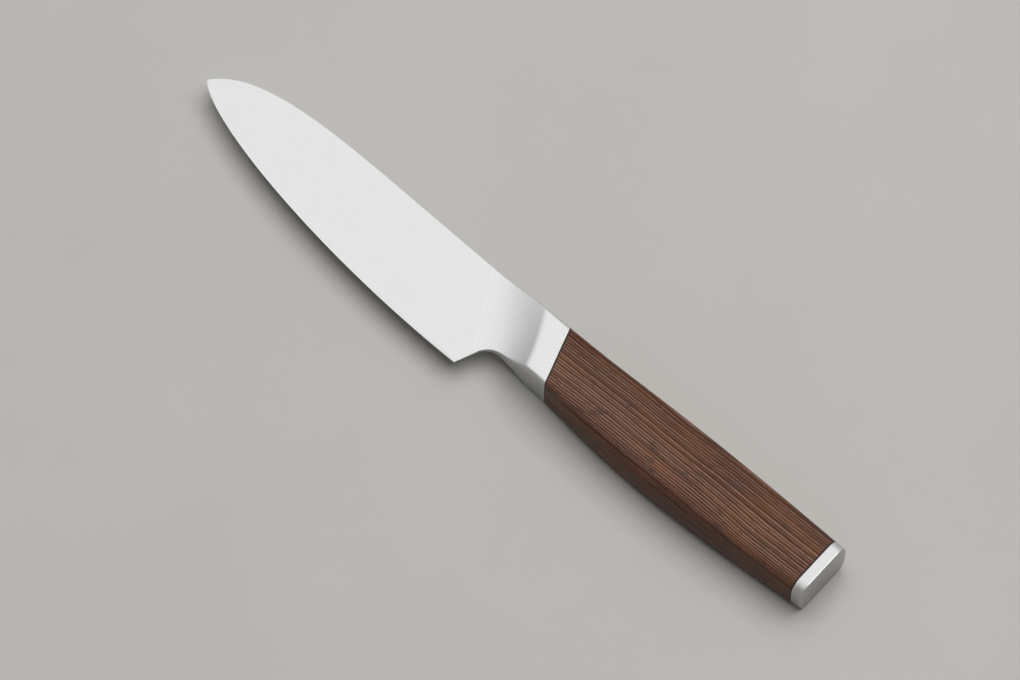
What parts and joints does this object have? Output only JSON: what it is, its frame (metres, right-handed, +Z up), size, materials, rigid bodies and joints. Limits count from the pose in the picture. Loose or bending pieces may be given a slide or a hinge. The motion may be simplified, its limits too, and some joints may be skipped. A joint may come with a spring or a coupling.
{
  "type": "paring knife",
  "caption": "Kitchen knife with a flat-ground pointed blade, hollow-necked steel bolster, swelling dark wood grip and steel end cap.",
  "frame": {"origin": "bottom centre of the bounding box of the knife lying on its side", "axes": "+X from the tip towards the butt, +Y from the cutting edge towards the spine, +Z up through the knife's thickness"},
  "size_m": [0.2128, 0.0282, 0.0132],
  "materials": {
    "blade_steel": "satin, fine polishing lines",
    "bolster_steel": "satin",
    "tang_steel": "plain, hidden",
    "front_liner_black": "matt black fibre",
    "wenge": "oiled, open-pored",
    "washer_steel": "plain, hidden",
    "nut_steel": "plain, hidden",
    "rear_liner_black": "matt black fibre",
    "cap_pin_spine_steel": "plain, hidden",
    "cap_pin_belly_steel": "plain, hidden",
    "end_cap_steel": "satin, finely brushed"
  },
  "bodies": {
    "root": {"blade": "blade_steel", "bolster": "bolster_steel", "tang": "tang_steel", "front_liner": "front_liner_black", "grip": "wenge", "tang_washer": "washer_steel", "tang_nut": "nut_steel", "rear_liner": "rear_liner_black", "cap_pin_spine": "cap_pin_spine_steel", "cap_pin_belly": "cap_pin_belly_steel", "end_cap": "end_cap_steel"}
  },
  "joints": []
}
